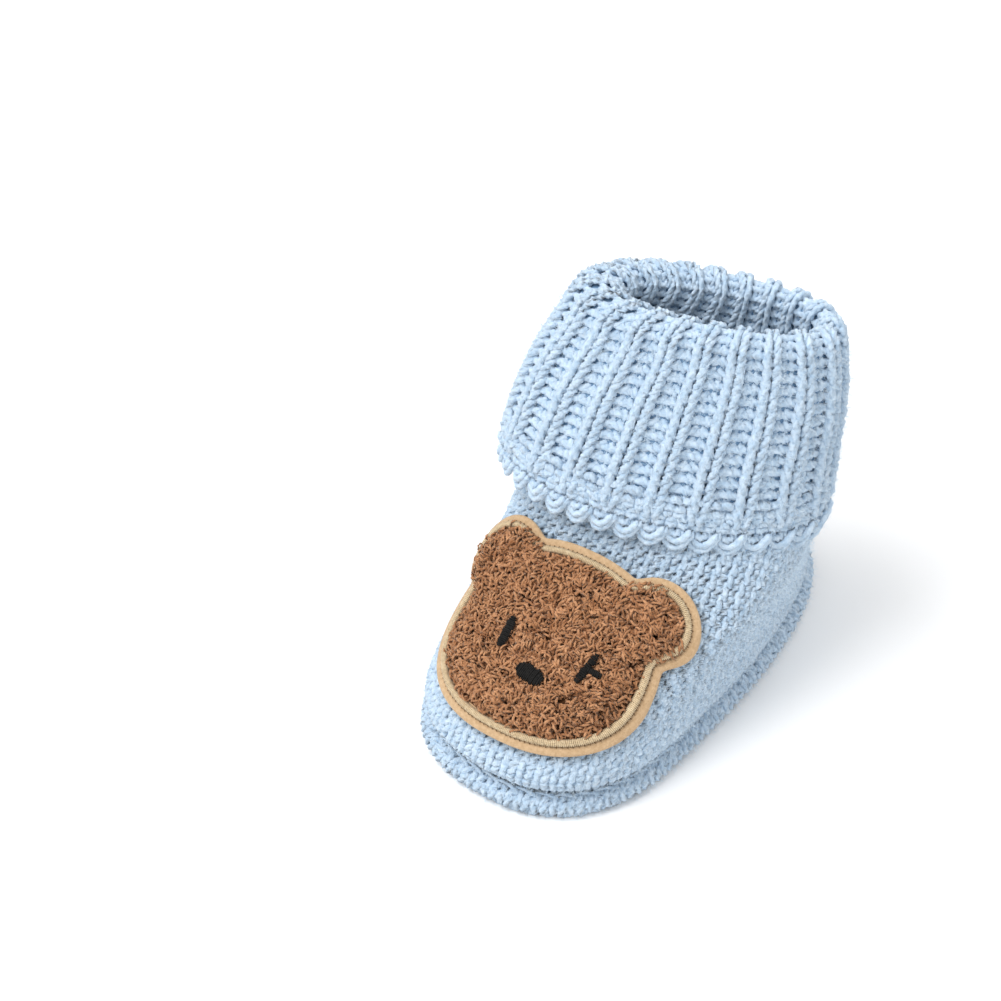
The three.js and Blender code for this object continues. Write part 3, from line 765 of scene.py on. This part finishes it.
# A closed slab inside the sole: its rings run from the middle of the top over the edge to the bottom.
CORE_SECTION = ((40.0, 2.9), (5.6, 2.9), (2.6, 2.7), (2.1, 2.2), (2.6, 1.7), (5.6, 1.6), (40.0, 1.6))
CORE_WIDE = 160
core = np.array([ring_points(sole_ring(*place)[None], TURN * np.arange(CORE_WIDE) / CORE_WIDE)
                 for place in CORE_SECTION])
core[0, :, 0] = core[-1, :, 0] = 0
# The slab takes the darker blue, painted shade seen through the gaps of the sole's stitches.
mesh_object("sole_core", core.reshape(-1, 3), grid_quads(len(core), CORE_WIDE), "blue_yarn", YARN_PAINTED_SHADE)

fibres = Skein()
fuzz([(FOOT, 11000, 0.02, 1.0, 1.3), (RIB, 10000, 0.6, 1.0, 1.5), (HEM, 1800, 0.0, 1.0, 1.4),
      (RIM, 3000, 0.0, 0.7, 1.0)], fibres, RNG)
fibres.mesh("loose_fibres", "blue_yarn", FUZZ)

patch_sheet("felt_sheet", 0.0, FELT_SECTION, 420, "tan_felt", FELT, ("patch_felt_backing",))
# the sheet under the curls takes the darker brown, painted shade between them
patch_sheet("boucle_base", FELT_FLANGE + BORDER_WIDTH, PAD_SECTION, 260, "brown_boucle", BOUCLE_PAINTED_SHADE, ())
for name, work, slot, mat, nodes in (
        ("satin_border_threads", stitch_border, "gold_thread", GOLD, ["patch_satin_border"]),
        ("needle_hole_shade", stitch_holes, "gold_thread", NEEDLE_HOLE_SHADE, []),
        ("boucle_curls", grow_boucle, "brown_boucle", BOUCLE, ["patch_boucle_pile"])):
    thread = Skein()
    work(thread, RNG)
    thread.mesh(name, slot, mat, nodes)
for name, node, start, end, width, strands in (
        ("eye_open_threads", "face_eye_open", (-7.3, 1.9), (-6.9, -5.0), 2.1, 17),
        ("eye_wink_upper_threads", "face_eye_wink_long", (12.3, 2.2), (11.0, -4.8), 1.7, 17),
        ("eye_wink_lower_threads", "face_eye_wink_short", (12.0, -1.5), (14.8, -1.3), 1.5, 8),
        ("nose_threads", "face_nose", (-1.1, -7.0), (5.1, -7.8), 3.8, 16)):
    thread = Skein()
    embroider(thread, RNG, start, end, width, strands)
    thread.mesh(name, "black_thread", BLACK, [node])

# ---- floor, light and camera ----------------------------------------------
WORLD_LIGHT = 0.74
FLOOR = 3.0              # half width, in metres like the lights below
mesh = bpy.data.meshes.new("floor")
mesh.from_pydata([(-FLOOR, -FLOOR, 0), (FLOOR, -FLOOR, 0), (FLOOR, FLOOR, 0), (-FLOOR, FLOOR, 0)],
                 [], [(0, 1, 2, 3)])
floor = bpy.data.objects.new("floor", mesh)
floor_mat = bpy.data.materials.new("pale_floor")
floor_mat.use_nodes = True
floor_mat.node_tree.nodes["Principled BSDF"].inputs["Base Color"].default_value = (0.9, 0.9, 0.9, 1)
floor_mat.node_tree.nodes["Principled BSDF"].inputs["Roughness"].default_value = 0.9
mesh.materials.append(floor_mat)
bpy.context.scene.collection.objects.link(floor)

world = bpy.data.worlds.new("studio")
world.use_nodes = True
world.node_tree.nodes["Background"].inputs["Color"].default_value = (1, 1, 1, 1)
world.node_tree.nodes["Background"].inputs["Strength"].default_value = WORLD_LIGHT
bpy.context.scene.world = world

TARGET = np.array([0, 0, 45.0]) * MM


def towards(azimuth, elevation):
    """Direction from the bootie to a lamp or camera; azimuth 0 is in front of the toe."""
    a, e = math.radians(azimuth), math.radians(elevation)
    return np.array([math.sin(a) * math.cos(e), -math.cos(a) * math.cos(e), math.sin(e)])


for name, azimuth, elevation, distance, size, power in (
        ("key", -30, 58, 0.9, 0.6, 7.0),
        ("fill", 75, 35, 1.0, 0.8, 1.0),
        ("back", 170, 50, 1.0, 0.7, 2.0)):
    light = bpy.data.lights.new(name, "AREA")
    light.energy, light.size = power, size
    lamp = bpy.data.objects.new(name, light)
    back = towards(azimuth, elevation)
    lamp.location = TARGET + back * distance
    lamp.rotation_euler = Vector(-back).to_track_quat("-Z", "Y").to_euler()
    bpy.context.scene.collection.objects.link(lamp)

AZIMUTH, ELEVATION, DISTANCE, FOCAL, SENSOR = 35.6, 40.0, 500, 88.1, 36.0
AIM_LEFT, AIM_DOWN = 28.2, 2.55   # the camera looks past the bootie, which stands right of the middle
camera = bpy.data.objects.new("camera", bpy.data.cameras.new("camera"))
back = towards(AZIMUTH, ELEVATION)
right = np.array([math.cos(math.radians(AZIMUTH)), math.sin(math.radians(AZIMUTH)), 0])
aim = TARGET - (AIM_LEFT * right + AIM_DOWN * np.cross(back, right)) * MM
camera.location = TARGET + back * DISTANCE * MM
camera.rotation_euler = Vector(aim - np.array(camera.location)).to_track_quat("-Z", "Y").to_euler()
camera.data.lens, camera.data.sensor_width = FOCAL, SENSOR
camera.data.clip_start, camera.data.clip_end = 0.01, 20
bpy.context.scene.collection.objects.link(camera)
bpy.context.scene.camera = camera
bpy.context.scene.view_settings.view_transform = "Standard"
